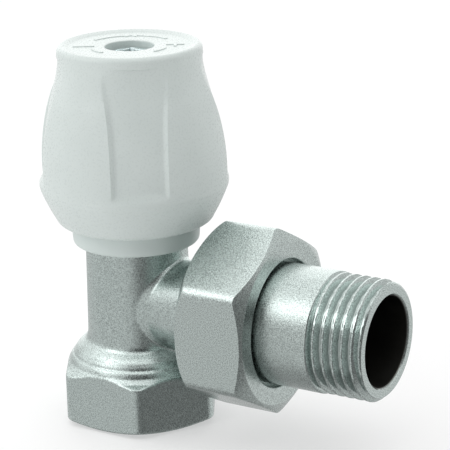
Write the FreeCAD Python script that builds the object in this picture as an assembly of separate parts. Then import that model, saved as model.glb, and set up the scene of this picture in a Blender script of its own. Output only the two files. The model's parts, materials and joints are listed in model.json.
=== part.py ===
"""Angle lockshield valve: half-inch body, capped headwork and union tail, one STEP file per piece.

Frame: +Z up the tower, +X out along the outlet, origin at the centre of the inlet face. Millimetres.
"""
import FreeCAD, Part
import math
import os

V = FreeCAD.Vector

# pipe threads (ISO 228): major radius, depth and pitch
HALF_MAJOR = 10.4775
THREE_QUARTER_MAJOR = 13.22
THREAD_DEPTH = 1.162
PITCH = 1.814
CREST_FLAT = 0.36
ROOT_FLAT = 0.30
RUNNING = 0.05

# body casting
HEX_AF = 26.0
HEX_CORNER = 2.5
HEX_TOP = 9.8
HEX_EDGE_R = 15.8
HEX_FOOT_R = 12.5
HEX_FOOT_BEVEL = 1.2
HEX_CROWN = 8.6
INLET_DEPTH = 10.2
INLET_RELIEF_R = 9.7
ORIFICE_R = 4.6
CHAMBER_FLOOR = 12.6
SEAT_TOP = 13.18
SEAT_R = 5.4
CHAMBER_R = 6.9
SHOULDER_TOP = 15.4
TOWER_FOOT_R = 9.38
TOWER_HEAD_R = 9.1
TOWER_TOP = 35.0
BONNET_THREAD_R = 7.5
BONNET_THREAD_FOOT = 28.2
MOUTH_CHAMFER = 0.6

# outlet branch
OUTLET_Z = 21.6
OUTLET_BORE_R = 6.0
NECK_ROOT_R = 6.6
NECK_END_R = 9.3
NECK_END_X = 17.6
SPIGOT_CHAMFER = 1.0
SPIGOT_END_X = 26.0
SPIGOT_BORE_R = 9.0
SPIGOT_BORE_X = 23.4

# union nut
NUT_AF = 30.0
NUT_CORNER = 2.4
NUT_BACK_X = 16.9
NUT_FRONT_X = 30.3
NUT_STEP_X = 26.4
NUT_STEP_R = 12.1
NUT_WEB_X = 28.0
NUT_WEB_R = 11.3
NUT_FACE_R = 14.4
NUT_REACH = 17.4
NUT_BACK_CHAMFER = 2.4
NUT_FRONT_CHAMFER = 1.7
NUT_MOUTH_CHAMFER = 0.6

# tailpiece
TAIL_END_X = 50.2
TAIL_NOSE_X = 23.6
TAIL_NOSE_R = 8.9
TAIL_FLANGE_R = 11.9
TAIL_SHOULDER_X = 26.2
TAIL_GROOVE_R = 7.6
TAIL_GROOVE = (24.2, 25.6)
TAIL_ORING_WIRE = 1.36
TAIL_FLARE = 1.7
TAIL_SHANK_R = 10.65
TAIL_BORE_R = 7.9
TAIL_THROAT_R = 6.2
TAIL_BORE_X = 36.5
FIRST_CREST_X = 41.3
TAIL_CRESTS = 5
RIM_R = 9.75

# collar ring
COLLAR_R = 11.4
COLLAR_FOOT = 32.5
COLLAR_TOP = 38.6
COLLAR_WEB_TOP = 36.0
COLLAR_WEB_R = 7.36
COLLAR_POCKET_R = 10.3

# bonnet and gland
BONNET_AF = 17.0
BONNET_HEX_TOP = 40.0
BONNET_FOOT = 26.0
BONNET_TOP = 47.5
BONNET_CORNER_R = 8.3
BONNET_HEX_CHAMFER = 1.2
BONNET_GROOVE_R = 5.75
BONNET_GROOVE = (26.6, 27.9)
BONNET_NECK_R = 7.3
BONNET_ORING_WIRE = 1.1
BARREL_R = 6.2
SPINDLE_THREAD_R = 4.5
SPINDLE_R = 3.5
BORE_R = 3.56
GLAND_BORE_R = 5.2
GLAND_AF = 12.0
PACKING_FOOT = 42.8
PACKING_TOP = 43.9
FOLLOWER_TOP = 44.5
GLAND_TOP = 49.5
GLAND_TIP_R = 5.9

# spindle, at the open end of its travel
BACK_STOP = 33.1
SPINDLE_FOOT = 19.6
SPINDLE_COLLAR = 23.9
SPINDLE_COLLAR_R = 4.1
SPINDLE_STUB_R = 3.0
CLIP_GROOVE_R = 2.2
CLIP_GROOVE = (21.4, 22.4)
THREAD_FOOT = 25.0
SPINDLE_GROOVE_R = 2.6
SPINDLE_GROOVE = (37.6, 38.9)
SPINDLE_ORING_WIRE = 0.9
SQUARE_FOOT = 51.0
SPINDLE_TOP = 61.5
SQUARE_AF = 5.5
SQUARE_ROUND_R = 3.45
SCREW_R = 1.95
SCREW_HEAD_R = 3.9
SCREW_SEAT = 65.0
SCREW_TOP = 67.1
SCREW_HEAD_EDGE = 66.5
SCREW_TIP = 54.5
SCREW_HOLE_FOOT = 52.5
CROSS_REACH = 4.6
CROSS_WIDTH = 1.1
CROSS_DEPTH = 1.5
WASHER_R = 4.15

# plug
PLUG_R = 6.3
PLUG_RIM_FOOT = 16.9
PLUG_SHOULDER = 20.0
PLUG_TOP = 23.5
PLUG_STEM_R = 4.6
PLUG_SOCKET_R = 3.05
PLUG_SOCKET_FOOT = 19.2
PLUG_CLIP_R = 3.8
PLUG_CLIP_GROOVE = (21.45, 22.25)
SEAL_R = 5.8
SEAL_FOOT = 16.2
SEAL_TOP = 17.8
PLUG_SCREW_R = 1.5
PLUG_SCREW_TOP = 19.0
PLUG_HEAD_R = 2.7
PLUG_HEAD_SEAT = 15.8
PLUG_SLOT_TOP = 15.1
PLUG_WASHER_R = 3.4
CLIP_R = 3.78
CLIP_BORE_R = 2.35
CLIP_FOOT = 21.5
CLIP_TOP = 22.2
CLIP_GAP = 2.4
THRUST_R = 4.2

# cap
CAP_TOP = 68.3
CAP_FACE = 67.85
CAP_LIP_Z = 36.1
CAP_LIP_R = 12.4
CAP_LIP_BORE_R = 11.65
CAP_WAIST_Z = 43.6
CAP_WAIST_R = 16.85
CAP_CROWN_R = 14.85
CAP_CROWN_Z = 59.6
CAP_ROOF = 2.05
CAP_WALL = 1.7
HUB_R = 6.0
HUB_FOOT = 53.5
HUB_SOCKET_R = 3.8
CAP_WEB_FOOT = 61.55
CAP_WEB_TOP = 64.5
RECESS_R = 4.31
PANELS = 4
FIRST_PANEL = 37.4
PANEL_FOOT = 43.9
PANEL_TOP = 66.4
PANEL_SPREAD = 9.0
PANEL_SWEEP = 16.0
PANEL_HALF_WIDTH = 4.7
PANEL_HALF_TOP = 5.7
RIB_FOOT = 56.0
RIB_THICK = 1.2


def outline(start, *steps):
    """Closed wire in the XZ plane; a step is (point,) for a line or (mid, point) for an arc."""
    edges = []
    here = V(start[0], 0, start[1])
    for step in steps + ((start,),):
        there = V(step[-1][0], 0, step[-1][1])
        if len(step) == 2:
            edges.append(Part.Arc(here, V(step[0][0], 0, step[0][1]), there).toShape())
        else:
            edges.append(Part.makeLine(here, there))
        here = there
    return Part.Face(Part.Wire(edges))


def turned(start, *steps):
    """Solid turned about Z from an (r, z) outline."""
    return outline(start, *steps).revolve(V(0, 0, 0), V(0, 0, 1), 360)


def turned_x(start, *steps):
    """Solid turned about the outlet axis from an (x, height above the axis) outline."""
    face = outline(start, *steps)
    return face.revolve(V(0, 0, 0), V(1, 0, 0), 360).translated(V(0, 0, OUTLET_Z))


def points(*pairs):
    return [(pair,) for pair in pairs]


def ring(outer, inner, foot, top):
    return tube(outer, inner, top - foot).translated(V(0, 0, foot))


def tube(outer, inner, height):
    body = Part.makeCylinder(outer, height)
    if inner > 0:
        body = body.cut(Part.makeCylinder(inner, height))
    return body


def rod(radius, foot, top):
    return Part.makeCylinder(radius, top - foot, V(0, 0, foot))


def rod_x(radius, start, end):
    return Part.makeCylinder(radius, end - start, V(start, 0, OUTLET_Z), V(1, 0, 0))


def box(width, depth, foot, top):
    return Part.makeBox(width, depth, top - foot, V(-width / 2, -depth / 2, foot))


def hexagon(across, foot, top, corner=0.0):
    """Hexagonal prism on Z with corners on the X axis, corner edges rounded."""
    radius = across / math.sqrt(3)
    corners = [V(radius * math.cos(math.radians(60 * k)), radius * math.sin(math.radians(60 * k)), foot)
               for k in range(7)]
    prism = Part.Face(Part.makePolygon(corners)).extrude(V(0, 0, top - foot))
    if corner > 0:
        upright = [edge for edge in prism.Edges if abs(edge.tangentAt(edge.FirstParameter).z) > 0.9]
        prism = prism.makeFillet(corner, upright)
    return prism


def chamfered_hexagon(across, foot, top, corner_r, chamfer):
    """Hexagonal prism on Z whose end edges are turned down to corner_r over the chamfer's height."""
    wide = corner_r + 1.75 * chamfer
    turning = turned((0, foot), *points((corner_r, foot), (wide, foot + chamfer), (wide, top - chamfer),
                                        (corner_r, top), (0, top)))
    return hexagon(across, foot, top).common(turning)


def torus_z(inner, section, centre_z):
    """O-ring on Z, given by its inner radius and section diameter."""
    return Part.makeTorus(inner + section / 2, section / 2, V(0, 0, centre_z))


def thread_points(first, count, crest_r, root_r):
    """(position, radius) corners of ring-shaped thread turns, crest by crest."""
    flank = (PITCH - CREST_FLAT - ROOT_FLAT) / 2
    corners = []
    for turn in range(count):
        middle = first + turn * PITCH
        corners.append((middle - CREST_FLAT / 2 - flank, root_r))
        corners.append((middle - CREST_FLAT / 2, crest_r))
        corners.append((middle + CREST_FLAT / 2, crest_r))
        corners.append((middle + CREST_FLAT / 2 + flank, root_r))
    return corners


def body_outside():
    chamfered = turned((0, 0), *points((HEX_FOOT_R, 0), (HEX_EDGE_R, HEX_FOOT_BEVEL), (HEX_EDGE_R, HEX_CROWN),
                                       (13.65, HEX_TOP)),
                       ((12.85, 10.6), (12.25, 11.65)), ((11.95, 11.8),), ((11.35, 13.0), (10.3, 13.95)),
                       ((9.7, 14.45), (TOWER_FOOT_R, SHOULDER_TOP)), *points((0, SHOULDER_TOP)))
    foot = hexagon(HEX_AF, 0, SHOULDER_TOP, HEX_CORNER).common(chamfered)
    tower = turned((0, HEX_TOP), *points((TOWER_FOOT_R, HEX_TOP), (TOWER_FOOT_R, SHOULDER_TOP),
                                         (TOWER_HEAD_R, TOWER_TOP), (0, TOWER_TOP)))
    chamfer_r = THREE_QUARTER_MAJOR - SPIGOT_CHAMFER
    branch = turned_x((0, 0), *points((0, NECK_ROOT_R), (NECK_END_X, NECK_END_R), (NECK_END_X, chamfer_r),
                                      (NECK_END_X + SPIGOT_CHAMFER, THREE_QUARTER_MAJOR),
                                      (SPIGOT_END_X - SPIGOT_CHAMFER, THREE_QUARTER_MAJOR),
                                      (SPIGOT_END_X, chamfer_r), (SPIGOT_END_X, 0)))
    return foot.fuse(tower).fuse(branch)


def inlet_thread():
    crest = HALF_MAJOR - THREAD_DEPTH
    mouth = HALF_MAJOR + 0.3
    corners = thread_points(1.5, 4, crest, HALF_MAJOR)
    turns = [(radius, height) for height, radius in corners]
    return turned((0, -1), *points((mouth, -1), (mouth, 0.2)), *points(*turns),
                  *points((INLET_RELIEF_R, turns[-1][1] + 0.5), (INLET_RELIEF_R, INLET_DEPTH),
                          (0, INLET_DEPTH)))


def make_body():
    bore = turned((0, HEX_CROWN), *points((ORIFICE_R, HEX_CROWN), (ORIFICE_R, SEAT_TOP),
                  (SEAT_R, SEAT_TOP), (SEAT_R + 0.5, CHAMBER_FLOOR), (CHAMBER_R, CHAMBER_FLOOR),
                  (CHAMBER_R, BONNET_THREAD_FOOT), (BONNET_THREAD_R, BONNET_THREAD_FOOT),
                  (BONNET_THREAD_R, TOWER_TOP - MOUTH_CHAMFER), (BONNET_THREAD_R + MOUTH_CHAMFER, TOWER_TOP),
                  (BONNET_THREAD_R + MOUTH_CHAMFER, TOWER_TOP + 1), (0, TOWER_TOP + 1)))
    shape = body_outside().cut(inlet_thread()).cut(bore)
    shape = shape.cut(rod_x(OUTLET_BORE_R, 0, SPIGOT_END_X + 1))
    return shape.cut(rod_x(SPIGOT_BORE_R, SPIGOT_BORE_X, SPIGOT_END_X + 1))


def make_bonnet():
    hexed = chamfered_hexagon(BONNET_AF, COLLAR_WEB_TOP, BONNET_HEX_TOP, BONNET_CORNER_R, BONNET_HEX_CHAMFER)
    seal_r = CHAMBER_R - RUNNING
    thread_r = BONNET_THREAD_R - RUNNING
    groove_foot, groove_top = BONNET_GROOVE
    stem = turned((0, BONNET_FOOT), *points((seal_r, BONNET_FOOT), (seal_r, groove_foot),
                  (BONNET_GROOVE_R, groove_foot), (BONNET_GROOVE_R, groove_top), (seal_r, groove_top),
                  (seal_r, BONNET_THREAD_FOOT), (thread_r, BONNET_THREAD_FOOT),
                  (thread_r, TOWER_TOP - MOUTH_CHAMFER), (BONNET_NECK_R, TOWER_TOP),
                  (BONNET_NECK_R, COLLAR_WEB_TOP), (BARREL_R, BONNET_HEX_TOP),
                  (BARREL_R, BONNET_TOP - 0.5), (BARREL_R - 0.5, BONNET_TOP), (0, BONNET_TOP)))
    shape = hexed.fuse(stem)
    shape = shape.cut(rod(SPINDLE_THREAD_R + RUNNING, BONNET_FOOT - 1, BACK_STOP))
    shape = shape.cut(rod(BORE_R, BACK_STOP - 1, BONNET_TOP + 1))
    return shape.cut(rod(GLAND_BORE_R, PACKING_FOOT, BONNET_TOP + 1))


def make_gland_nut():
    top = turned((0, BONNET_TOP), *points((GLAND_AF, BONNET_TOP), (GLAND_TIP_R, GLAND_TOP), (0, GLAND_TOP)))
    hexed = hexagon(GLAND_AF, BONNET_TOP, GLAND_TOP).common(top)
    stem = rod(GLAND_BORE_R - RUNNING, FOLLOWER_TOP, BONNET_TOP)
    return hexed.fuse(stem).cut(rod(BORE_R + RUNNING, FOLLOWER_TOP - 1, GLAND_TOP + 1))


def make_collar():
    grip = TOWER_HEAD_R + RUNNING
    edge = 0.4
    return turned((grip, COLLAR_FOOT), *points((COLLAR_R - 0.7, COLLAR_FOOT)),
                  ((COLLAR_R - 0.2, COLLAR_FOOT + 0.2), (COLLAR_R, COLLAR_FOOT + 0.7)),
                  *points((COLLAR_R, COLLAR_TOP - edge), (COLLAR_R - edge, COLLAR_TOP),
                          (COLLAR_POCKET_R, COLLAR_TOP), (COLLAR_POCKET_R, COLLAR_WEB_TOP),
                          (COLLAR_WEB_R, COLLAR_WEB_TOP), (COLLAR_WEB_R, TOWER_TOP), (grip, TOWER_TOP)))


def make_spindle():
    clip_foot, clip_top = CLIP_GROOVE
    seal_foot, seal_top = SPINDLE_GROOVE
    tip = SPINDLE_STUB_R - 0.4
    shaft = turned((0, SPINDLE_FOOT), *points((tip, SPINDLE_FOOT), (SPINDLE_STUB_R, SPINDLE_FOOT + 0.4),
                   (SPINDLE_STUB_R, clip_foot), (CLIP_GROOVE_R, clip_foot), (CLIP_GROOVE_R, clip_top),
                   (SPINDLE_STUB_R, clip_top), (SPINDLE_STUB_R, SPINDLE_COLLAR),
                   (SPINDLE_COLLAR_R, SPINDLE_COLLAR), (SPINDLE_COLLAR_R, THREAD_FOOT),
                   (SPINDLE_THREAD_R, THREAD_FOOT + 0.4), (SPINDLE_THREAD_R, BACK_STOP - 0.1),
                   (SPINDLE_R, BACK_STOP - 0.1), (SPINDLE_R, seal_foot), (SPINDLE_GROOVE_R, seal_foot),
                   (SPINDLE_GROOVE_R, seal_top), (SPINDLE_R, seal_top), (SPINDLE_R, SQUARE_FOOT),
                   (0, SQUARE_FOOT)))
    rounding = turned((0, SQUARE_FOOT - 1), *points((SQUARE_ROUND_R, SQUARE_FOOT - 1),
                      (SQUARE_ROUND_R, SPINDLE_TOP - 0.5), (SQUARE_ROUND_R - 0.5, SPINDLE_TOP),
                      (0, SPINDLE_TOP)))
    square = box(SQUARE_AF, SQUARE_AF, SQUARE_FOOT, SPINDLE_TOP).common(rounding)
    return shaft.fuse(square).cut(rod(SCREW_R + RUNNING, SCREW_HOLE_FOOT, SPINDLE_TOP + 1))


def make_plug():
    shape = turned((0, PLUG_RIM_FOOT), *points((PLUG_R, PLUG_RIM_FOOT), (PLUG_R, PLUG_SHOULDER - 0.5),
                   (PLUG_R - 0.5, PLUG_SHOULDER), (PLUG_STEM_R, PLUG_SHOULDER), (PLUG_STEM_R, PLUG_TOP - 0.3),
                   (PLUG_STEM_R - 0.3, PLUG_TOP), (0, PLUG_TOP)))
    shape = shape.cut(rod(SEAL_R, PLUG_RIM_FOOT - 1, SEAL_TOP))
    shape = shape.cut(rod(PLUG_SCREW_R, SEAL_TOP - 1, PLUG_SHOULDER))
    shape = shape.cut(rod(PLUG_SOCKET_R, PLUG_SOCKET_FOOT, PLUG_TOP + 1))
    return shape.cut(rod(PLUG_CLIP_R, *PLUG_CLIP_GROOVE))


def make_plug_screw():
    slot_depth = PLUG_HEAD_SEAT - PLUG_SLOT_TOP
    crown = PLUG_SLOT_TOP - slot_depth
    head = turned((0, PLUG_HEAD_SEAT), *points((PLUG_HEAD_R, PLUG_HEAD_SEAT), (PLUG_HEAD_R, PLUG_SLOT_TOP)),
                  ((2.0, crown + 0.1), (0, crown)))
    shape = head.fuse(rod(PLUG_SCREW_R, PLUG_HEAD_SEAT, PLUG_SCREW_TOP))
    return shape.cut(box(3 * PLUG_HEAD_R, 0.8, crown - 1, PLUG_SLOT_TOP))


def make_clip():
    shape = ring(CLIP_R, CLIP_BORE_R, CLIP_FOOT, CLIP_TOP)
    return shape.cut(Part.makeBox(2 * CLIP_R, CLIP_GAP, 2, V(0, -CLIP_GAP / 2, CLIP_FOOT - 1)))


def make_cap_screw():
    head = turned((0, SCREW_SEAT), *points((SCREW_HEAD_R, SCREW_SEAT), (SCREW_HEAD_R, SCREW_HEAD_EDGE)),
                  ((2.2, SCREW_TOP - 0.18), (0, SCREW_TOP)))
    shank = turned((0, SCREW_TIP), *points((1.4, SCREW_TIP), (SCREW_R, SCREW_TIP + 0.6),
                                           (SCREW_R, SCREW_SEAT), (0, SCREW_SEAT)))
    shape = head.fuse(shank)
    for width, depth in ((CROSS_REACH, CROSS_WIDTH), (CROSS_WIDTH, CROSS_REACH)):
        shape = shape.cut(box(width, depth, SCREW_TOP - CROSS_DEPTH, SCREW_TOP + 1))
    return shape


def cap_shell():
    rim = CAP_TOP - 1.2
    outside = turned((0, CAP_LIP_Z), *points((CAP_LIP_R, CAP_LIP_Z)), ((13.6, 36.5), (14.3, 37.4)),
                     ((15.85, 40.4), (CAP_WAIST_R, CAP_WAIST_Z)), ((16.6, 51.2), (CAP_CROWN_R, CAP_CROWN_Z)),
                     ((13.6, 63.4), (12.8, rim)), ((12.6, 67.9), (11.95, CAP_TOP)),
                     ((11.2, CAP_FACE),), ((0, CAP_FACE),))
    floor = CAP_FACE - CAP_ROOF
    inside = turned((0, CAP_LIP_Z - 1), *points((CAP_LIP_BORE_R, CAP_LIP_Z - 1),
                    (CAP_LIP_BORE_R, CAP_LIP_Z + 0.9)),
                    ((13.8, 40.2), (CAP_WAIST_R - CAP_WALL - 0.5, CAP_WAIST_Z)),
                    ((14.2, 51.2), (12.4, CAP_CROWN_Z)), ((11.3, 63.4), (10.9, floor)), ((0, floor),))
    return outside, inside


def panel_cutters():
    """Shallow upright panels between the four grip lobes, flatter than the cap and wider at the top."""
    reach = 2 * CAP_WAIST_R
    line = outline((CAP_WAIST_R, PANEL_FOOT), ((16.35, PANEL_FOOT + 1.7),), ((15.87, 52.4), (13.65, 61.5)),
                   ((13.05, 63.6), (12.75, PANEL_TOP)), ((reach, PANEL_TOP),), ((reach, PANEL_FOOT),))
    centre = V(-PANEL_SPREAD, 0, 0)
    band = line.revolve(centre, V(0, 0, 1), 2 * PANEL_SWEEP).rotated(centre, V(0, 0, 1), -PANEL_SWEEP)
    middle = (PANEL_FOOT + PANEL_TOP) / 2
    low, high = PANEL_FOOT - 1, PANEL_TOP + 1
    sides = [(-PANEL_HALF_WIDTH, low), (PANEL_HALF_WIDTH, low), (PANEL_HALF_WIDTH, middle),
             (PANEL_HALF_TOP, high), (-PANEL_HALF_TOP, high), (-PANEL_HALF_WIDTH, middle)]
    loop = [V(0, y, z) for y, z in sides + sides[:1]]
    cutter = band.common(Part.Face(Part.makePolygon(loop)).extrude(V(reach, 0, 0)))
    return [cutter.rotated(V(0, 0, 0), V(0, 0, 1), FIRST_PANEL + k * 360 / PANELS) for k in range(PANELS)]


def make_cap():
    outside, inside = cap_shell()
    shape = outside.cut(inside)
    for cutter in panel_cutters():
        shape = shape.cut(cutter)
    inner = rod(HUB_R, HUB_FOOT, CAP_FACE - 1)
    for turn in (0, 90):
        web = box(2 * CAP_WAIST_R, RIB_THICK, RIB_FOOT, CAP_FACE - 1).common(inside)
        inner = inner.fuse(web.rotated(V(0, 0, 0), V(0, 0, 1), FIRST_PANEL + 45 + turn))
    shape = shape.fuse(inner)
    shape = shape.cut(rod(HUB_SOCKET_R, HUB_FOOT - 1, CAP_WEB_FOOT))
    shape = shape.cut(rod(SCREW_R + 0.25, HUB_FOOT, CAP_TOP))
    return shape.cut(rod(RECESS_R, CAP_WEB_TOP, CAP_TOP + 1))


def make_tail():
    root = HALF_MAJOR - THREAD_DEPTH
    turns = thread_points(FIRST_CREST_X, TAIL_CRESTS, HALF_MAJOR, root)
    groove_back, groove_front = TAIL_GROOVE
    collar_front = NUT_WEB_X - 0.02
    first_root = turns[0][0] - ROOT_FLAT
    runout = (TAIL_SHANK_R - root) / 2
    shape = turned_x((TAIL_NOSE_X, 0), *points((TAIL_NOSE_X, TAIL_NOSE_R - 0.4),
                     (TAIL_NOSE_X + 0.4, TAIL_NOSE_R), (groove_back, TAIL_NOSE_R),
                     (groove_back, TAIL_GROOVE_R), (groove_front, TAIL_GROOVE_R),
                     (groove_front, TAIL_NOSE_R), (TAIL_SHOULDER_X, TAIL_NOSE_R),
                     (TAIL_SHOULDER_X, TAIL_FLANGE_R), (collar_front, TAIL_FLANGE_R),
                     (collar_front, TAIL_SHANK_R), (first_root - runout, TAIL_SHANK_R), (first_root, root)),
                     *points(*turns),
                     *points((turns[-1][0] + 0.15, root), (TAIL_END_X - 0.35, RIM_R + 0.15),
                             (TAIL_END_X, RIM_R), (TAIL_END_X, 0)))
    shape = shape.cut(rod_x(TAIL_THROAT_R, TAIL_NOSE_X - 1, TAIL_END_X))
    flare_back = TAIL_BORE_X - TAIL_FLARE
    flare = turned_x((flare_back, 0), *points((flare_back, TAIL_THROAT_R),
                     (TAIL_BORE_X, TAIL_BORE_R), (TAIL_END_X + 1, TAIL_BORE_R), (TAIL_END_X + 1, 0)))
    return shape.cut(flare)


def make_tail_oring():
    centre = V(sum(TAIL_GROOVE) / 2, 0, OUTLET_Z)
    radius = SPIGOT_BORE_R - 0.02 - TAIL_ORING_WIRE / 2
    return Part.makeTorus(radius, TAIL_ORING_WIRE / 2, centre, V(1, 0, 0))


def make_nut():
    prism = hexagon(NUT_AF, NUT_BACK_X, NUT_FRONT_X, NUT_CORNER)
    prism.rotate(V(0, 0, 0), V(0, 1, 0), 90)
    prism.translate(V(0, 0, OUTLET_Z))
    chamfered = turned_x((NUT_BACK_X, 0), *points((NUT_BACK_X, NUT_FACE_R)),
                         ((NUT_BACK_X + 0.75, 15.8), (NUT_BACK_X + NUT_BACK_CHAMFER, NUT_REACH)),
                         *points((NUT_FRONT_X - NUT_FRONT_CHAMFER, NUT_REACH), (NUT_FRONT_X, NUT_FACE_R),
                                 (NUT_FRONT_X, 0)))
    thread_r = THREE_QUARTER_MAJOR + RUNNING
    mouth_r = thread_r + 0.35
    inner = turned_x((NUT_BACK_X - 1, 0), *points((NUT_BACK_X - 1, mouth_r), (NUT_BACK_X, mouth_r),
                     (NUT_BACK_X + NUT_MOUTH_CHAMFER, thread_r), (NUT_STEP_X, thread_r),
                     (NUT_STEP_X, NUT_STEP_R), (NUT_WEB_X, NUT_STEP_R), (NUT_WEB_X, NUT_WEB_R),
                     (NUT_FRONT_X + 1, NUT_WEB_R), (NUT_FRONT_X + 1, 0)))
    return prism.common(chamfered).cut(inner)


def pieces():
    return {
        "valve_body": make_body(),
        "bonnet": make_bonnet(),
        "bonnet_oring": torus_z(BONNET_GROOVE_R + 0.03, BONNET_ORING_WIRE, sum(BONNET_GROOVE) / 2),
        "collar_ring": make_collar(),
        "gland_packing": ring(GLAND_BORE_R, BORE_R - 0.03, PACKING_FOOT, PACKING_TOP),
        "gland_follower": ring(GLAND_BORE_R - RUNNING, BORE_R + RUNNING, PACKING_TOP, FOLLOWER_TOP),
        "gland_nut": make_gland_nut(),
        "plug_holder": make_plug(),
        "plug_seal": ring(SEAL_R, PLUG_SCREW_R + 0.1, SEAL_FOOT, SEAL_TOP),
        "plug_washer": ring(PLUG_WASHER_R, PLUG_SCREW_R + 0.1, PLUG_HEAD_SEAT, SEAL_FOOT),
        "plug_screw": make_plug_screw(),
        "thrust_washer": ring(THRUST_R, SPINDLE_STUB_R + 0.06, PLUG_TOP, SPINDLE_COLLAR - 0.03),
        "spindle_clip": make_clip(),
        "spindle": make_spindle(),
        "spindle_oring": torus_z(SPINDLE_GROOVE_R + 0.02, SPINDLE_ORING_WIRE, sum(SPINDLE_GROOVE) / 2),
        "cap": make_cap(),
        "cap_screw": make_cap_screw(),
        "cap_washer": ring(WASHER_R, SCREW_R + 0.15, CAP_WEB_TOP + RUNNING, SCREW_SEAT),
        "tailpiece": make_tail(),
        "tail_oring": make_tail_oring(),
        "union_nut": make_nut(),
    }


os.makedirs("parts", exist_ok=True)
for name, shape in pieces().items():
    if len(shape.Solids) != 1 or not shape.isValid():
        raise ValueError(f"{name}: {len(shape.Solids)} solids, valid {shape.isValid()}")
    shape.Solids[0].exportStep(f"parts/{name}.step")
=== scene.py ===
import bpy
import bmesh
import json
import math
import numpy as np
from mathutils import Matrix, Vector


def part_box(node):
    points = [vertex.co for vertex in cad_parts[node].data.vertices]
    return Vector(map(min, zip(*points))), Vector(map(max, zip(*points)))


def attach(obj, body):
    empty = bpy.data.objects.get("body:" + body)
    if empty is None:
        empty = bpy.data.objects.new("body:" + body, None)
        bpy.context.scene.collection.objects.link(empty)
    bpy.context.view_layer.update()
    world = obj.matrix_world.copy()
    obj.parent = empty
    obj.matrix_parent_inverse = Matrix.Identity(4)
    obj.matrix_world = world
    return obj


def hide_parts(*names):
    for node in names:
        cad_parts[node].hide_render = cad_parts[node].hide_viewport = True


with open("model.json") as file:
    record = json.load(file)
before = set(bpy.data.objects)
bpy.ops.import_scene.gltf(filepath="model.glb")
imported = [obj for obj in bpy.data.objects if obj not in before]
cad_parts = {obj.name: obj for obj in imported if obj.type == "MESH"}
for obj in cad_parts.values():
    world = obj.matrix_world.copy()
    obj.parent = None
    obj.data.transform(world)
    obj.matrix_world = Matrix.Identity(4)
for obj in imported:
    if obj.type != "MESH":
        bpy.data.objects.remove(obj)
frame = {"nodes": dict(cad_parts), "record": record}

MM = 0.001
TAU = 2 * math.pi
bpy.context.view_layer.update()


def cad(node):
    """A CAD node's lowest and highest corners at rest, in millimetres."""
    low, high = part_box(node)
    return np.array(low) / MM, np.array(high) / MM


body_low, body_high = cad("valve_body")
cap_low, cap_high = cad("cap")
collar_low, collar_high = cad("collar_ring")
tail_low, tail_high = cad("tailpiece")
nut_low, nut_high = cad("union_nut")
screw_low, screw_high = cad("cap_screw")
washer_high = cad("cap_washer")[1]

# Height of the outlet axis, and the half-inch pipe thread's pitch, crest radius and depth.
OUT_Z = (tail_low[2] + tail_high[2]) / 2
PITCH = 1.814
HALF_R = 10.4775
DEPTH = 1.162


# ---------------------------------------------------------------- meshes

def add_mesh(name, verts, faces, sharp=None):
    """A mesh object from millimetre coordinates, smooth shaded but for edges sharper than an angle."""
    mesh = bpy.data.meshes.new(name)
    mesh.from_pydata((np.asarray(verts) * MM).tolist(), [], faces)
    tidy = bmesh.new()
    tidy.from_mesh(mesh)
    bmesh.ops.remove_doubles(tidy, verts=tidy.verts, dist=1e-7)
    bmesh.ops.dissolve_degenerate(tidy, edges=tidy.edges, dist=1e-8)
    bmesh.ops.recalc_face_normals(tidy, faces=tidy.faces)
    tidy.to_mesh(mesh)
    tidy.free()
    mesh.shade_smooth()
    if sharp:
        mesh.set_sharp_from_angle(angle=math.radians(sharp))
    piece = bpy.data.objects.new(name, mesh)
    bpy.context.scene.collection.objects.link(piece)
    return piece


def place(axis, along, radius, turn):
    """Points at a distance along an axis, a radius and an angle round it."""
    if axis == "z":
        return np.stack([radius * np.cos(turn), radius * np.sin(turn), along], -1)
    return np.stack([along, radius * np.cos(turn), OUT_Z + radius * np.sin(turn)], -1)


def lathe(name, axis, profile, count=128, sharp=32, turns=None):
    """Closed skin from a closed (along, radius) profile, which may change from column to column.

    A profile with a third value per point places each point at its own angle."""
    turns = np.arange(count) * TAU / count if turns is None else turns
    count = len(turns)
    rows = [np.asarray(profile(t) if callable(profile) else profile, float) for t in turns]
    size = len(rows[0])
    verts = []
    for row, turn in zip(rows, turns):
        own = row[:, 2] if row.shape[1] > 2 else np.full(size, turn)
        verts.append(place(axis, row[:, 0], row[:, 1], own))
    faces = []
    for i in range(count):
        a, b = i * size, (i + 1) % count * size
        faces += [(a + j, a + (j + 1) % size, b + (j + 1) % size, b + j) for j in range(size)]
    return add_mesh(name, np.concatenate(verts), faces, sharp)


def rounded(corners, steps=4):
    """Polyline of (along, radius[, rounding]) corners with each rounding drawn as an arc."""
    spots = [np.array(c[:2], float) for c in corners]
    result = []
    for i, corner in enumerate(corners):
        here = spots[i]
        back = spots[i - 1] - here
        ahead = spots[(i + 1) % len(spots)] - here
        size = corner[2] if len(corner) > 2 else 0
        lb, la = np.linalg.norm(back), np.linalg.norm(ahead)
        if size <= 0 or lb < 1e-9 or la < 1e-9:
            result.append(here)
            continue
        back, ahead = back / lb, ahead / la
        half = math.acos(max(-1, min(1, float(back @ ahead)))) / 2
        if half > 1.55:
            result.append(here)
            continue
        reach = min(size / math.tan(half), 0.48 * lb, 0.48 * la)
        size = reach * math.tan(half)
        centre = here + (back + ahead) / np.linalg.norm(back + ahead) * size / math.sin(half)
        start, stop = here + back * reach - centre, here + ahead * reach - centre
        for k in range(steps + 1):
            mix = start * (1 - k / steps) + stop * (k / steps)
            result.append(centre + mix / np.linalg.norm(mix) * size)
    return np.array(result)


# ---------------------------------------------------------------- solids as distance fields

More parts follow.
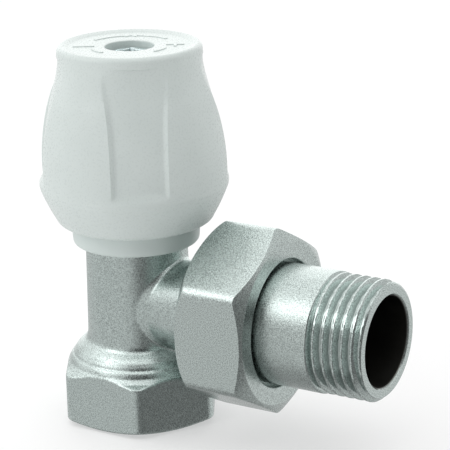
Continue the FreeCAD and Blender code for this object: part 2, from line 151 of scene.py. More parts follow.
def outline_table(corners, step=0.06, margin=2.0):
    """Signed distance to a closed (a, r) outline, mirrored at r = 0, as a lookup."""
    spots = np.array(corners, float)
    low = spots.min(0) - margin
    low[1] = 0
    high = spots.max(0) + margin
    na, nr = (np.ceil((high - low) / step).astype(int) + 2)
    a = low[0] + np.arange(na) * step
    r = low[1] + np.arange(nr) * step
    A, R = np.meshgrid(a, r, indexing="ij")
    best = np.full(A.shape, 1e9)
    inside = np.zeros(A.shape, bool)
    for p, q in zip(spots, np.roll(spots, -1, 0)):
        e = q - p
        crossing = (p[1] > R) != (q[1] > R)
        with np.errstate(divide="ignore", invalid="ignore"):
            at = p[0] + (R - p[1]) * e[0] / e[1] if abs(e[1]) > 1e-12 else np.inf
        inside ^= crossing & (A < at)
        if abs(p[1]) < 1e-9 and abs(q[1]) < 1e-9:
            continue
        t = np.clip(((A - p[0]) * e[0] + (R - p[1]) * e[1]) / (e @ e), 0, 1)
        best = np.minimum(best, np.hypot(A - p[0] - t * e[0], R - p[1] - t * e[1]))
    field = np.where(inside, -best, best).astype(np.float32)

    def lookup(along, radius):
        u = np.clip((along - low[0]) / step, 0, na - 1.001)
        v = np.clip((radius - low[1]) / step, 0, nr - 1.001)
        i, j = u.astype(np.int32), v.astype(np.int32)
        u, v = u - i, v - j
        return ((field[i, j] * (1 - u) + field[i + 1, j] * u) * (1 - v)
                + (field[i, j + 1] * (1 - u) + field[i + 1, j + 1] * u) * v)
    return lookup


def soft_min(a, b, k):
    """Smaller of two fields, with the joint rounded over a width k."""
    h = np.maximum(k - np.abs(a - b), 0) / k
    return np.minimum(a, b) - h * h * k / 4


def soft_max(a, b, k):
    """Larger of two fields, with the joint rounded over a width k."""
    return -soft_min(-a, -b, k)


def hexagon_field(x, y, across, corner):
    """Signed distance to a hexagon with corners on the first axis and rounded corners."""
    inner = across / 2 - corner
    px, py = np.abs(x), np.abs(y)
    kx, ky, kz = -math.sqrt(3) / 2, 0.5, 1 / math.sqrt(3)
    dot = 2 * np.minimum(kx * px + ky * py, 0)
    px, py = px - dot * kx, py - dot * ky
    px, py = px - np.clip(px, -kz * inner, kz * inner), py - inner
    return np.hypot(px, py) * np.sign(py) - corner


def thread_radius(along, turn, crest, root, crest_flat=0.36, root_flat=0.30):
    """Radius of a right-hand helical thread at a distance along its axis."""
    phase = np.mod(along / PITCH - turn / TAU, 1.0)
    away = np.abs(phase - 0.5) * 2
    low, high = crest_flat / PITCH, 1 - root_flat / PITCH
    slope = np.clip((away - low) / (high - low), 0, 1)
    return crest + (root - crest) * slope


def surface(field, low, high, step, polish=3):
    """Quad mesh of the zero level of a distance field over a box."""
    axes = [np.arange(lo, hi + step, step, dtype=np.float32) for lo, hi in zip(low, high)]
    values = np.empty([len(a) for a in axes], np.float32)
    for i in range(0, len(axes[0]), 24):
        x, y, z = np.meshgrid(axes[0][i:i + 24], axes[1], axes[2], indexing="ij")
        values[i:i + 24] = field(x, y, z)
    inside = values < 0
    count = sum(inside[i:inside.shape[0] - 1 + i, j:inside.shape[1] - 1 + j,
                       k:inside.shape[2] - 1 + k].astype(np.int8)
                for i in (0, 1) for j in (0, 1) for k in (0, 1))
    mixed = (count > 0) & (count < 8)
    number = np.full(mixed.shape, -1, np.int64)
    cells = np.argwhere(mixed)
    number[mixed] = np.arange(len(cells))
    total = np.zeros((len(cells), 3))
    hits = np.zeros(len(cells))
    corners = [np.array(c) for c in np.ndindex(2, 2, 2)]
    for a in corners:
        for b in corners:
            if (b - a).sum() != 1 or (b < a).any():
                continue
            va = values[tuple((cells + a).T)]
            vb = values[tuple((cells + b).T)]
            cross = (va < 0) != (vb < 0)
            t = np.where(cross, va / np.where(cross, va - vb, 1), 0)
            total += cross[:, None] * (a + t[:, None] * (b - a))
            hits += cross
    spots = np.array([a[0] for a in axes]) + (cells + total / hits[:, None]) * step
    faces = []
    for axis in range(3):
        u, v = (axis + 1) % 3, (axis + 2) % 3
        start = [slice(None)] * 3
        stop = [slice(None)] * 3
        start[axis], stop[axis] = slice(0, -1), slice(1, None)
        change = inside[tuple(start)] != inside[tuple(stop)]
        for edge in (u, v):
            side = [slice(None)] * 3
            side[edge] = slice(0, 1)
            change[tuple(side)] = False
            side[edge] = slice(-1, None)
            change[tuple(side)] = False
        spot = np.argwhere(change)
        flip = inside[tuple(spot.T)]
        du, dv = np.eye(3, dtype=int)[u], np.eye(3, dtype=int)[v]
        quad = np.stack([number[tuple((spot - s).T)] for s in (du + dv, dv, du * 0, du)], 1)
        quad = np.where(flip[:, None], quad, quad[:, ::-1])
        faces.append(quad)
    nudge = 0.02
    for _ in range(polish):
        here = field(*spots.T.astype(np.float32))
        slope = np.stack([(field(*(spots + nudge * e).T.astype(np.float32))
                           - field(*(spots - nudge * e).T.astype(np.float32))) / (2 * nudge)
                          for e in np.eye(3)], 1)
        size = np.maximum((slope ** 2).sum(1), 0.05)
        move = -slope * (here / size)[:, None]
        length = np.linalg.norm(move, axis=1)
        move *= np.minimum(1, 0.5 * step / np.maximum(length, 1e-9))[:, None]
        spots = spots + move
    return spots, np.concatenate(faces)


def field_mesh(name, field, low, high, step, sharp=None):
    """A mesh object round the zero level of a distance field, in a box given in millimetres."""
    spots, faces = surface(field, low, high, step)
    mesh = bpy.data.meshes.new(name)
    mesh.vertices.add(len(spots))
    mesh.vertices.foreach_set("co", (spots * MM).astype(np.float32).ravel())
    mesh.loops.add(faces.size)
    mesh.polygons.add(len(faces))
    mesh.loops.foreach_set("vertex_index", faces.astype(np.int32).ravel())
    mesh.polygons.foreach_set("loop_start", np.arange(0, faces.size, 4, dtype=np.int32))
    mesh.update(calc_edges=True)
    mesh.validate()
    mesh.shade_smooth()
    if sharp:
        mesh.set_sharp_from_angle(angle=math.radians(sharp))
    piece = bpy.data.objects.new(name, mesh)
    bpy.context.scene.collection.objects.link(piece)
    return piece


# ---------------------------------------------------------------- valve body

HEX_AF = body_high[1] - body_low[1]
HEX_CORNER = 2.5
HEX_FOOT_R = 12.5
HEX_EDGE_R = 15.8
HEX_FOOT_BEVEL = 1.2
HEX_CROWN = 8.6
TOWER_TOP = body_high[2]
TOWER_R = 9.1
NECK_FOOT_R = 6.6
NECK_R = 9.2
NECK_LIP = 1.2
NECK_LIP_R = 9.5
NECK_END = 17.6
SPIGOT_R = 13.22
SPIGOT_END = body_high[0]
SPIGOT_SHOULDER = 1.0
SPIGOT_LEAD = 1.1
SPIGOT_BORE_R = 9.0
RELIEF_FOOT = 8.6
RELIEF_TOP = 10.2
RELIEF_R = 9.7
ORIFICE_R = 4.6
SEAT_Z = 13.18
SEAT_R = 5.4
SEAT_BASE_R = 5.9
CHAMBER_FLOOR = 12.6
CHAMBER_R = 6.9
BONNET_FOOT = 28.2
BONNET_R = 7.5
BONNET_LEAD = 1.0
OUTLET_R = 6.0
NOSE_SEAT = 23.4
INLET_THREAD_TOP = 8.7
INLET_LEAD = 0.35
INLET_LEAD_TOP = 1.5
PAST_FACE = 2

# Round shoulder with its small steps, from the hexagon's top to the tower's foot, as (z, r).
SHOULDER = [(9.8, 13.65), (10.5, 12.98), (11.05, 12.72), (11.5, 12.45), (11.72, 12.15), (12.2, 11.92),
            (12.9, 11.45), (13.5, 10.85), (13.95, 10.3), (14.2, 9.98), (14.6, 9.68), (15.1, 9.48),
            (16.0, 9.37)]

# How far the casting's edges, neck joint, seam and cut edges are rounded, and the seam's size and start.
CAST_ROUND = 0.30
NECK_ROUND = 0.9
SEAM_ROUND = 0.25
CUT_ROUND = 0.12
SEAM_SINK = 0.10
SEAM_R = 0.50
SEAM_START = 4
# Slope of a distance field over a thread's flank, and a distance that never wins.
FLANK = 0.7
FAR = 9


def body_profile():
    """Outside of hexagon foot, shoulder and tower as (z, r)."""
    foot = [(0, 0), (0, HEX_FOOT_R), (HEX_FOOT_BEVEL, HEX_EDGE_R), (HEX_CROWN, HEX_EDGE_R)]
    return foot + SHOULDER + [(TOWER_TOP, TOWER_R), (TOWER_TOP, 0)]


def branch_profile():
    """Outlet neck and union spigot as (x, distance from the outlet axis)."""
    return [(0, 0), (0, NECK_FOOT_R), (NECK_END - NECK_LIP, NECK_R), (NECK_END, NECK_LIP_R),
            (NECK_END, SPIGOT_R - SPIGOT_SHOULDER), (NECK_END + SPIGOT_SHOULDER, SPIGOT_R),
            (SPIGOT_END - SPIGOT_LEAD, SPIGOT_R), (SPIGOT_END, SPIGOT_R - SPIGOT_LEAD), (SPIGOT_END, 0)]


def bore_profile():
    """Inlet relief, orifice, raised seat, chamber and bonnet bore as (z, r)."""
    mouth_r = BONNET_R + BONNET_LEAD
    return [(RELIEF_FOOT, 0), (RELIEF_FOOT, RELIEF_R), (RELIEF_TOP, RELIEF_R), (RELIEF_TOP, ORIFICE_R),
            (SEAT_Z, ORIFICE_R), (SEAT_Z, SEAT_R), (CHAMBER_FLOOR, SEAT_BASE_R), (CHAMBER_FLOOR, CHAMBER_R),
            (BONNET_FOOT, CHAMBER_R), (BONNET_FOOT, BONNET_R), (TOWER_TOP - 0.6, BONNET_R),
            (TOWER_TOP + 0.4, mouth_r), (TOWER_TOP + PAST_FACE, mouth_r), (TOWER_TOP + PAST_FACE, 0)]


def outlet_profile():
    """Waterway through the neck and the tail's seat in the spigot, as (x, r)."""
    end = SPIGOT_END + PAST_FACE
    return [(0, 0), (0, OUTLET_R), (NOSE_SEAT, OUTLET_R), (NOSE_SEAT, SPIGOT_BORE_R), (end, SPIGOT_BORE_R),
            (end, 0)]


foot_table = outline_table(body_profile())
branch_table = outline_table(branch_profile())
bore_table = outline_table(bore_profile())
outlet_table = outline_table(outlet_profile())


def body_field(x, y, z):
    """The casting: hexagon, shoulder, tower, neck with its seam, threads and bores."""
    r = np.hypot(x, y)
    turn = np.arctan2(y, x)
    tower = soft_max(foot_table(z, r), hexagon_field(x, y, HEX_AF, HEX_CORNER), CAST_ROUND)
    rho = np.hypot(y, z - OUT_Z)
    roll = np.arctan2(z - OUT_Z, y)
    branch = branch_table(x, rho)
    shape = soft_min(tower, branch, NECK_ROUND)
    seam = np.hypot(tower + SEAM_SINK, branch + SEAM_SINK) - SEAM_R
    shape = soft_min(shape, np.where(x > SEAM_START, seam, FAR), SEAM_ROUND)
    male = (rho - thread_radius(x, roll, SPIGOT_R, SPIGOT_R - DEPTH)) * FLANK
    shape = np.maximum(shape, np.where(x > NECK_END + 1.2, male, -FAR))
    female = r - thread_radius(z, turn, HALF_R, HALF_R - DEPTH, 0.3, 0.36)
    female = np.maximum(female, z - INLET_THREAD_TOP) * FLANK
    mouth = r - (HALF_R + INLET_LEAD - z)
    void = np.minimum(np.minimum(female, bore_table(z, r)), outlet_table(x, rho))
    void = np.minimum(void, np.maximum(mouth, z - INLET_LEAD_TOP))
    return soft_max(shape, -void, CUT_ROUND)


# ---------------------------------------------------------------- union nut

NUT_BACK = nut_low[0]
NUT_FRONT = nut_high[0]
NUT_APOTHEM = (nut_high[1] - nut_low[1]) / 2
NUT_CORNER = 2.4
NUT_FACE_R = 14.4
NUT_CONE = 0.567
NUT_BACK_CURVE = 0.165
NUT_BACK_CONE = 0.3045
NUT_MOUTH_R = 13.7
NUT_BORE_R = 13.27
NUT_BORE_END = 26.4
NUT_FLANGE_R = 12.1
NUT_WEB = 28.0
NUT_WEB_R = 11.3


def hexagon_radius(turn, apothem, corner):
    """Outline radius of a hexagon with rounded corners and a corner at angle 0."""
    away = abs((turn + math.pi / 6) % (math.pi / 3) - math.pi / 6)
    centre = (apothem - corner) / math.cos(math.pi / 6)
    tangent = math.atan2(corner / 2, centre + corner * math.cos(math.pi / 6))
    if away < tangent:
        return centre * math.cos(away) + math.sqrt(corner ** 2 - (centre * math.sin(away)) ** 2)
    return apothem / math.cos(math.pi / 6 - away)


def nut_back(rise):
    """Where the nut's rounded back stands at a height over its face radius."""
    return NUT_BACK + NUT_BACK_CURVE * rise ** 2 + NUT_BACK_CONE * rise


def nut_profile(turn):
    """Web bore, coned front, hexagon, rounded back and stepped bore as (x, r[, rounding])."""
    radius = hexagon_radius(turn - math.pi / 2, NUT_APOTHEM, NUT_CORNER)
    rise = radius - NUT_FACE_R
    front = NUT_FRONT - rise * NUT_CONE
    return rounded([(NUT_FRONT, NUT_WEB_R, 0.35), (NUT_FRONT, NUT_FACE_R, 0.25), (front, radius, 0.22),
                    (nut_back(rise), radius, 0.5), (nut_back(rise / 2), NUT_FACE_R + rise / 2),
                    (NUT_BACK, NUT_FACE_R, 0.5), (NUT_BACK, NUT_MOUTH_R, 0.1), (NUT_BACK + 0.7, NUT_BORE_R),
                    (NUT_BORE_END, NUT_BORE_R), (NUT_BORE_END, NUT_FLANGE_R), (NUT_WEB, NUT_FLANGE_R),
                    (NUT_WEB, NUT_WEB_R)])


# ---------------------------------------------------------------- tailpiece

TAIL_START = 23.6
TAIL_END = tail_high[0]
TAIL_SHANK_R = 10.65
TAIL_THROAT_R = 6.2
TAIL_BORE_R = 7.9
NOSE_R = 8.9
RING_GROOVE = (24.2, 25.6)
RING_GROOVE_R = 7.6
FLANGE = (26.2, 27.98)
FLANGE_R = 11.9
RIM_R = 9.75
RIM_SLOPE = 0.85
THREAD_START = 40.0
THREAD_FADE = 0.8
THREAD_PHASE = 39.587
THREAD_ROWS = 0.07


def tail_radius(x, turn):
    """Shank running into the helical thread and its end chamfer."""
    fade = np.clip((x - THREAD_START) / THREAD_FADE, 0, 1)
    fade = fade * fade * (3 - 2 * fade)
    thread = thread_radius(x - THREAD_PHASE, turn, HALF_R, HALF_R - DEPTH, 0.30, 0.34)
    crest = TAIL_SHANK_R + (HALF_R - TAIL_SHANK_R) * fade
    radius = crest - (HALF_R - thread) * fade
    return np.minimum(radius, RIM_R + (TAIL_END - x) * RIM_SLOPE)


def tail_profile(turn):
    """Nose with its ring groove, flange, shank, thread, bevelled mouth and bore."""
    x = np.arange(THREAD_START - 0.2, TAIL_END - 0.12, THREAD_ROWS)
    shank = rounded([(TAIL_START, TAIL_THROAT_R), (TAIL_START, 8.5, 0.1), (24.0, NOSE_R, 0.1),
                     (RING_GROOVE[0], NOSE_R), (RING_GROOVE[0], RING_GROOVE_R),
                     (RING_GROOVE[1], RING_GROOVE_R), (RING_GROOVE[1], NOSE_R), (FLANGE[0], NOSE_R),
                     (FLANGE[0], FLANGE_R, 0.2), (FLANGE[1], FLANGE_R, 0.2), (FLANGE[1], TAIL_SHANK_R),
                     (30.0, TAIL_SHANK_R), (35.0, TAIL_SHANK_R)])
    mouth = rounded([(TAIL_END - 0.1, RIM_R - 0.02), (TAIL_END, RIM_R - 0.12), (TAIL_END, 8.9),
                     (TAIL_END, 8.25), (TAIL_END - 0.35, TAIL_BORE_R), (44, TAIL_BORE_R),
                     (36.5, TAIL_BORE_R, 0.3), (34.8, TAIL_THROAT_R, 0.3)])
    return np.concatenate([shank, np.stack([x, tail_radius(x, turn)], 1), mouth])


# ---------------------------------------------------------------- collar ring

COLLAR_FOOT = collar_low[2]
COLLAR_TOP = collar_high[2]
COLLAR_R = collar_high[0]
COLLAR_BORE_R = 9.15
COLLAR_SEAT = (35.0, 36.0)
COLLAR_SEAT_R = 7.36
COLLAR_DISH_R = 10.3
collar_profile = rounded([(COLLAR_FOOT, COLLAR_BORE_R), (COLLAR_FOOT, COLLAR_R - 0.15, 0.75),
                          (COLLAR_FOOT + 1.6, COLLAR_R), (COLLAR_TOP - 0.4, COLLAR_R, 0.2),
                          (COLLAR_TOP, COLLAR_R - 0.4, 0.1), (COLLAR_TOP, COLLAR_DISH_R, 0.1),
                          (COLLAR_SEAT[1], COLLAR_DISH_R), (COLLAR_SEAT[1], COLLAR_SEAT_R),
                          (COLLAR_SEAT[0], COLLAR_SEAT_R), (COLLAR_SEAT[0], COLLAR_BORE_R)], 6)


# ---------------------------------------------------------------- cap

CAP_TOP = cap_high[2]
CAP_FACE = CAP_TOP - 0.45
LIP_Z = cap_low[2]
RECESS_R = 4.31
RECESS_FLOOR = 64.5
SCREW_HOLE_R = 2.2
SOCKET_R = 3.8
SOCKET_TOP = 61.55
HUB_R = 6.0
HUB_FOOT = 53.5
ROOF_Z = 65.8
LIP_BORE_R = 11.65
SHELL_BELT = (43.6, 14.7)

# Four shallow panels: the first one's direction, the top, how far behind the cap's axis the panel line
# turns, the wall's width, half the panel's width against height, and the wall's columns.
PANELS = 4
FIRST_PANEL = math.radians(37.4)
PANEL_TOP = 66.4
PANEL_SPREAD = 5.0
PANEL_WALL = 0.6
PANEL_HEIGHTS = (45.0, 51.6, 56.5, 61.5, 66.7)
PANEL_REACHES = (4.4, 4.4, 4.5, 4.85, 5.4)
WALL_SHARES = (0.12, 0.25, 0.4, 0.55, 0.7, 0.85, 1.0)


def arc_points(start, middle, stop, count):
    """Points on the circle through three (a, r) spots."""
    a, b, c = (np.array(p, float) for p in (start, middle, stop))
    d = 2 * (a[0] * (b[1] - c[1]) + b[0] * (c[1] - a[1]) + c[0] * (a[1] - b[1]))
    ux = ((a @ a) * (b[1] - c[1]) + (b @ b) * (c[1] - a[1]) + (c @ c) * (a[1] - b[1])) / d
    uy = ((a @ a) * (c[0] - b[0]) + (b @ b) * (a[0] - c[0]) + (c @ c) * (b[0] - a[0])) / d
    centre = np.array([ux, uy])
    radius = np.linalg.norm(a - centre)
    first, mid, last = (math.atan2(*(p - centre)[::-1]) for p in (a, b, c))
    span = (last - first) % TAU
    if (mid - first) % TAU > span:
        span -= TAU
    turns = first + span * np.linspace(0, 1, count)
    return centre + radius * np.stack([np.cos(turns), np.sin(turns)], 1)


# A grip lobe's outside as (z, r), up from the lip: flare, belt, flank, neck and rounded top edge.
lobe = np.concatenate([
    [(LIP_Z, 12.3), (LIP_Z + 0.2, 12.85)],
    arc_points((36.6, 13.5), (36.95, 13.9), (37.4, 14.15), 5),
    arc_points((37.5, 14.2), (40.3, 15.65), (42.8, 16.7), 18),
    arc_points((43.0, 16.72), (43.35, 16.82), (43.7, 16.84), 6),
    arc_points((44.0, 16.84), (51.2, 16.58), (59.4, 14.83), 50),
    arc_points((59.6, 14.76), (63.2, 13.55), (PANEL_TOP - 0.3, 12.9), 26),
    [(PANEL_TOP - 0.1, 12.87), (PANEL_TOP + 0.05, 12.85), (PANEL_TOP + 0.2, 12.83)],
    arc_points((CAP_TOP - 1.2, 12.78), (CAP_TOP - 0.38, 12.56), (CAP_TOP - 0.01, 11.95), 12)])
# A panel's middle as (z, r), up from its foot in the belt.
panel_line = np.concatenate([
    [(43.9, 16.86), (45.2, 16.2)],
    arc_points((45.4, 16.08), (52.4, 15.48), (61.5, 13.42), 40),
    arc_points((61.7, 13.42), (63.6, 12.95), (PANEL_TOP, 12.66), 12)])


def panel_reach(z):
    """Half the width of a panel at a height."""
    return np.interp(z, PANEL_HEIGHTS, PANEL_REACHES)


def cap_columns():
    """Columns round the cap as (panel, kind, share): panel face, its two walls and the lobe beyond."""
    columns = []
    for k in range(PANELS):
        columns += [(k, 0, s) for s in np.linspace(-1, 1, 17)]
        columns += [(k, 1, s) for s in WALL_SHARES]
        columns += [(k, 2, s) for s in np.linspace(0, 1, 21)[1:-1]]
        columns += [(k + 1, -1, s) for s in WALL_SHARES[::-1]]
    return columns


def cap_inside():
    """Dished top, screw recess, hub, and the shell's inside down to the lip, as (z, r)."""
    face = rounded([(CAP_TOP - 0.02, 11.75), (CAP_FACE, 10.6, 1.2), (CAP_FACE, 9.0),
                    (CAP_FACE, RECESS_R, 0.25), (RECESS_FLOOR, RECESS_R), (RECESS_FLOOR, SCREW_HOLE_R),
                    (SOCKET_TOP, SCREW_HOLE_R), (SOCKET_TOP, SOCKET_R), (HUB_FOOT, SOCKET_R, 0.2),
                    (HUB_FOOT, HUB_R, 0.3), (ROOF_Z, HUB_R, 0.6), (ROOF_Z, 10.9, 0.8)])
    inner = arc_points((CAP_TOP - 4.6, 11.3), (51.2, 14.4), SHELL_BELT, 20)
    lower = arc_points(SHELL_BELT, (40.2, 13.75), (LIP_Z + 0.9, LIP_BORE_R), 12)[1:]
    return np.concatenate([face, inner, lower, [(LIP_Z + 0.15, LIP_BORE_R), (LIP_Z, 11.8)]])


def cap_skin(column):
    """The cap's closed profile at one column; panel edges keep their distance from the panel's middle."""
    panel, kind, share = column
    rows = np.concatenate([lobe, cap_inside()])
    z, r = rows[:, 0], rows[:, 1].copy()
    radius = np.interp(z, lobe[:, 0], lobe[:, 1])
    near = np.arcsin(panel_reach(z) / radius)
    far = np.arcsin((panel_reach(z) + PANEL_WALL) / radius)
    if kind == 0:
        away, sunk = near * share, 1.0
    elif kind == 2:
        away, sunk = far + (math.pi / 2 - 2 * far) * share, 0.0
    else:
        away, sunk = kind * (near + (far - near) * share), 1 - share ** 1.3
    spread = PANEL_SPREAD + np.interp(z, panel_line[:, 0], panel_line[:, 1], left=99, right=99)
    flat = np.sqrt(spread ** 2 - (PANEL_SPREAD * np.sin(away)) ** 2) - PANEL_SPREAD * np.cos(away)
    depth = np.clip(radius - flat, 0, 1) * sunk
    outer = len(lobe)
    r[:outer] -= depth[:outer]
    return np.stack([z, r, FIRST_PANEL + panel * math.pi / 2 + away], 1)


# ---------------------------------------------------------------- screw

SCREW_TOP = screw_high[2]
SCREW_TIP = screw_low[2]
SCREW_TURN = math.radians(20)
SHANK_R = 1.95
HEAD_FOOT = washer_high[2]
HEAD_R = 3.9
CROSS_REACH = 2.35
CROSS_HALF = 0.42
CROSS_DEPTH = 1.5
screw_table = outline_table([(SCREW_TIP, 0), (SCREW_TIP, 1.4), (SCREW_TIP + 0.6, SHANK_R),
                             (HEAD_FOOT, SHANK_R), (HEAD_FOOT, HEAD_R - 0.15), (HEAD_FOOT + 0.15, HEAD_R),
                             (HEAD_FOOT + 1.4, HEAD_R), (HEAD_FOOT + 1.7, 3.72), (SCREW_TOP - 0.22, 3.2),
                             (SCREW_TOP - 0.06, 1.9), (SCREW_TOP, 0.6), (SCREW_TOP, 0)])


def screw_field(x, y, z):
    """Pan head with a tapered cross recess."""
    u = x * math.cos(SCREW_TURN) + y * math.sin(SCREW_TURN)
    v = y * math.cos(SCREW_TURN) - x * math.sin(SCREW_TURN)
    depth = SCREW_TOP - z
    head = screw_table(z, np.hypot(x, y))
    reach = CROSS_REACH - 0.55 * depth
    wing = np.minimum(np.maximum(np.abs(u) - reach, np.abs(v) - CROSS_HALF),
                      np.maximum(np.abs(v) - reach, np.abs(u) - CROSS_HALF))
    core = np.abs(u) + np.abs(v) - (1.55 - 0.35 * depth)
    recess = np.maximum(np.minimum(wing, core * 0.7), depth - CROSS_DEPTH)
    return soft_max(head, -recess, 0.08)


# ---------------------------------------------------------------- cap marks and ribs

def slab(outline_xy, low, high, bevel=0.06):
    """Flat raised mark: an outline in the top plane with a small bevel on its upper edge."""
    spots = np.array(outline_xy, float)
    area = np.sum(spots[:, 0] * np.roll(spots[:, 1], -1) - np.roll(spots[:, 0], -1) * spots[:, 1])
    spots = spots if area > 0 else spots[::-1]
    ahead = np.roll(spots, -1, 0) - spots
    ahead /= np.linalg.norm(ahead, axis=1)[:, None]
    back = np.roll(ahead, 1, 0)
    normal = np.stack([ahead[:, 1], -ahead[:, 0]], 1)
    before = np.stack([back[:, 1], -back[:, 0]], 1)
    join = normal + before
    join /= (join * normal).sum(1)[:, None] + 1e-9
    inset = spots - np.clip(join, -2, 2) * bevel
    n = len(spots)
    verts = [(*p, low) for p in spots] + [(*p, high - bevel) for p in spots] + [(*p, high) for p in inset]
    faces = [tuple(range(n))[::-1], tuple(range(2 * n, 3 * n))]
    for layer in (0, n):
        faces += [(layer + i, layer + (i + 1) % n, layer + n + (i + 1) % n, layer + n + i) for i in range(n)]
    return verts, faces


def ring_part(radius, start, stop, width, count=16):
    """Outline of a plain curved bar from one angle to another, in degrees."""
    turns = np.radians(np.linspace(start, stop, count))
    outer = [((radius + width / 2) * math.cos(t), (radius + width / 2) * math.sin(t)) for t in turns]
    inner = [((radius - width / 2) * math.cos(t), (radius - width / 2) * math.sin(t)) for t in turns]
    return outer + inner[::-1]


def arrow(radius, start, stop, width, head, count=24):
    """Outline of a curved arrow from one angle to another, in degrees."""
    sides = ring_part(radius, start, stop, width, count)
    sign = 1 if stop > start else -1
    last = math.radians(stop)
    tip_turn = last + sign * head / radius
    tip = (radius * math.cos(tip_turn), radius * math.sin(tip_turn))
    wide = [((radius + d * head * 0.75) * math.cos(last), (radius + d * head * 0.75) * math.sin(last))
            for d in (1, -1)]
    return sides[:count] + [wide[0], tip, wide[1]] + sides[count:]


def plus_outline(centre, size, width, turn):
    """Outline of a plus sign, turned about its centre."""
    half, arm = width / 2, size / 2
    corners = [(half, half), (arm, half), (arm, -half), (half, -half), (half, -arm), (-half, -arm),
               (-half, -half), (-arm, -half), (-arm, half), (-half, half), (-half, arm), (half, arm)]
    return turned_points(corners, centre, turn)


def bar_outline(centre, size, width, turn):
    """Outline of a straight bar, turned about its centre."""
    corners = [(size / 2, width / 2), (-size / 2, width / 2), (-size / 2, -width / 2), (size / 2, -width / 2)]
    return turned_points(corners, centre, turn)


def turned_points(corners, centre, turn):
    """Corners turned by an angle and moved to a centre."""
    c, s = math.cos(turn), math.sin(turn)
    return [(centre[0] + x * c - y * s, centre[1] + x * s + y * c) for x, y in corners]


# Marks on the top: the direction of the plus in degrees, radii, widths and sizes, and the angles that the
# arrows and bars span, counted from the plus.
MARK_AXIS = 31.6
MARK_R = 8.0
MARK_WIDTH = 0.55
MARK_SINK = 0.25
MARK_RISE = 0.14
PLUS_SIZE = 3.2
MINUS_SIZE = 3.8
ARROW_SPANS = ((38, 82), (142, 98))
ARROW_WIDTH = 0.6
ARROW_HEAD = 1.3
BAR_SPANS = ((-24, -50), (-156, -130))
BAR_R = 6.9
BAR_WIDTH = 0.5


def cap_marks():
    """Raised marks on the cap's top: a plus, a minus, two curved arrows and two plain bars."""
    turn = math.radians(MARK_AXIS)
    x, y = MARK_R * math.cos(turn), MARK_R * math.sin(turn)
    outlines = [arrow(MARK_R, MARK_AXIS + start, MARK_AXIS + stop, ARROW_WIDTH, ARROW_HEAD)
                for start, stop in ARROW_SPANS]
    outlines += [plus_outline((x, y), PLUS_SIZE, MARK_WIDTH, turn),
                 bar_outline((-x, -y), MINUS_SIZE, MARK_WIDTH, turn)]
    outlines += [ring_part(BAR_R, MARK_AXIS + start, MARK_AXIS + stop, BAR_WIDTH)
                 for start, stop in BAR_SPANS]
    verts, faces = [], []
    for outline in outlines:
        more, sides = slab(outline, CAP_FACE - MARK_SINK, CAP_FACE + MARK_RISE)
        faces += [tuple(i + len(verts) for i in side) for side in sides]
        verts += more
    return add_mesh("cap_marks", verts, faces, 30)


# Half a web's thickness, and its outline as (r, z).
RIB_HALF = 0.6
RIB_SECTION = [(5.6, 56.0), (13.75, 56.0), (13.1, 59.6), (11.7, 63.4), (11.2, 66.2), (5.6, 66.2)]


def cap_ribs():
    """Webs between the cap's hub and its shell, one behind each lobe."""
    verts, faces = [], []
    n = len(RIB_SECTION)
    for k in range(PANELS):
        turn = FIRST_PANEL + math.pi / 4 + k * math.pi / 2
        c, s = math.cos(turn), math.sin(turn)
        base = len(verts)
        for side in (-RIB_HALF, RIB_HALF):
            verts += [(r * c - side * s, r * s + side * c, z) for r, z in RIB_SECTION]
        faces += [tuple(base + i for i in range(n))[::-1], tuple(base + n + i for i in range(n))]
        faces += [(base + i, base + (i + 1) % n, base + n + (i + 1) % n, base + n + i) for i in range(n)]
    return add_mesh("cap_ribs", verts, faces, 30)


# ---------------------------------------------------------------- materials

